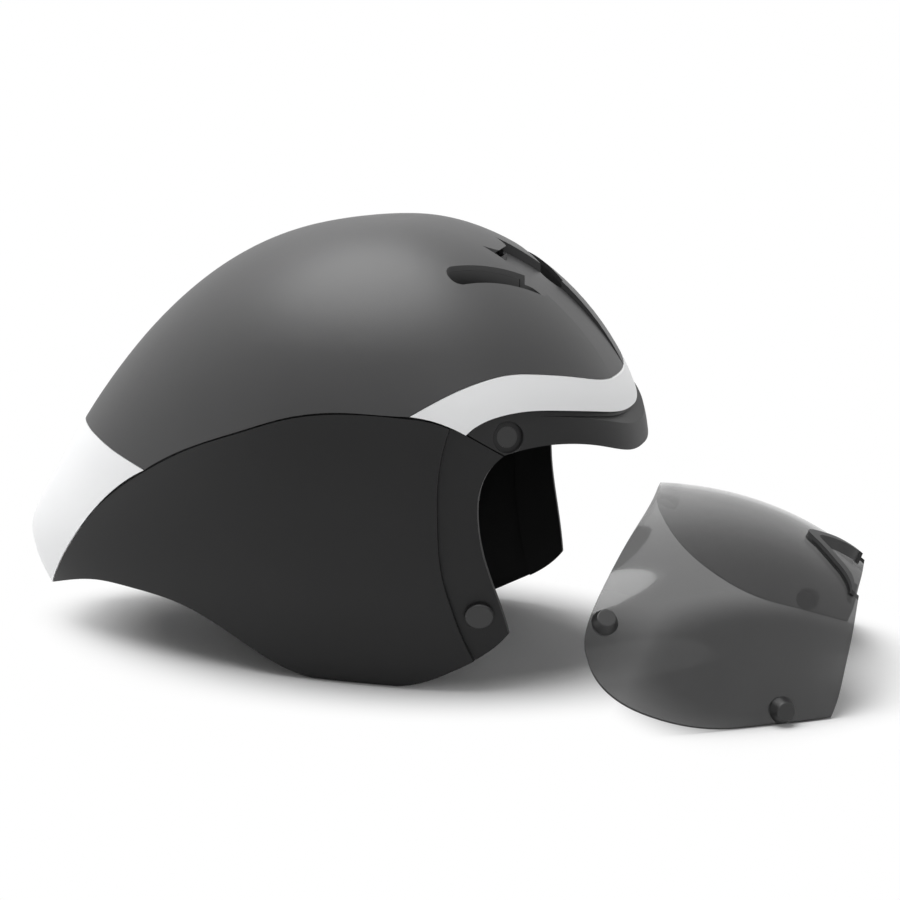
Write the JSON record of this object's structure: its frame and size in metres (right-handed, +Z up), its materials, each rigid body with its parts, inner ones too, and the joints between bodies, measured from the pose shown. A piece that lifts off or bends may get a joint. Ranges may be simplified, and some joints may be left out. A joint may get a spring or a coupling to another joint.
{
  "type": "aero time trial helmet",
  "caption": "Aero helmet for time trials with a rounded tail, side covers, air slots, head cradle and a magnetic smoked visor stood beside it.",
  "frame": {"origin": "on the floor in the helmet's middle plane, under the middle of the head opening (crown 2 mm behind)", "axes": "+X to the front of the helmet, +Y to the wearer's left, +Z up; the floor is Z = 0"},
  "size_m": [0.4426, 0.2494, 0.2213],
  "materials": {
    "shell_grey": "soft matte paint",
    "satin_white": "satin white paint",
    "cover_charcoal": "matte charcoal",
    "band_black": "fine matte grain",
    "button_black": "satin",
    "magnet_nickel": "plated",
    "foam_dark": "beaded foam",
    "pad_fabric": "brushed knit",
    "screw_steel": "machined",
    "strap_webbing": "woven",
    "fitting_black": "moulded",
    "lens_smoke": "mirrored smoke",
    "cap_black": "satin",
    "nose_rubber": "matte"
  },
  "bodies": {
    "helmet": {"upper_shell": "shell_grey", "front_stripe": "satin_white", "tail_cover": "satin_white", "brow_band": "band_black", "side_cover_right": "cover_charcoal", "side_cover_left": "cover_charcoal", "lower_button_caps": "button_black", "lower_button_magnets": "magnet_nickel", "socket_magnets": "magnet_nickel", "vent_duct_right": "fitting_black", "vent_duct_left": "fitting_black", "foam_liner": "foam_dark", "brow_pad": "pad_fabric", "temple_pads": "pad_fabric", "crown_pads": "pad_fabric", "ear_pads": "pad_fabric", "cover_screws": "screw_steel", "strap_anchors": "fitting_black", "chin_strap_right": "strap_webbing", "chin_strap_left": "strap_webbing", "buckle_plug": "fitting_black", "buckle_socket": "fitting_black", "cradle_rail": "fitting_black"},
    "cradle": {"cradle_housing": "fitting_black", "cradle_pad": "pad_fabric"},
    "dial": {"fit_dial": "fitting_black", "dial_pinion": "fitting_black"},
    "band_right": {"head_band_right": "fitting_black"},
    "band_left": {"head_band_left": "fitting_black"},
    "slider_right": {"strap_slider_right": "fitting_black"},
    "slider_left": {"strap_slider_left": "fitting_black"},
    "visor": {"visor_lens": "lens_smoke", "visor_upper_caps": "cap_black", "visor_lower_caps": "cap_black", "visor_cap_magnets": "magnet_nickel", "visor_cap_backs": "cap_black", "nose_piece": "nose_rubber"}
  },
  "joints": [
    {"name": "visor_lift", "type": "slide", "parent": "helmet", "child": "visor", "axis": [0, 0, 1], "range_m": [0, 0.15]},
    {"name": "cradle_height", "type": "slide", "parent": "helmet", "child": "cradle", "axis": [0, 0, 1], "range_m": [-0.006, 0.004]},
    {"name": "fit_dial_turn", "type": "hinge", "parent": "cradle", "child": "dial", "pos_m": [-0.0973, 0, 0.041], "axis": [1, 0, 0], "range_deg": [-115, 115]},
    {"name": "band_right_slide", "type": "slide", "parent": "cradle", "child": "band_right", "axis": [0, -1, 0], "range_m": [-0.0123, 0.0123]},
    {"name": "band_left_slide", "type": "slide", "parent": "cradle", "child": "band_left", "axis": [0, 1, 0], "range_m": [-0.0123, 0.0123]},
    {"name": "slider_right_slide", "type": "slide", "parent": "helmet", "child": "slider_right", "axis": [0, 0, 1], "range_m": [-0.008, 0.003]},
    {"name": "slider_left_slide", "type": "slide", "parent": "helmet", "child": "slider_left", "axis": [0, 0, 1], "range_m": [-0.008, 0.003]}
  ],
  "couplings": [
    {"joint": "band_right_slide", "follows": "fit_dial_turn", "m_per_rad": 0.0061116},
    {"joint": "band_left_slide", "follows": "fit_dial_turn", "m_per_rad": 0.0061116}
  ]
}
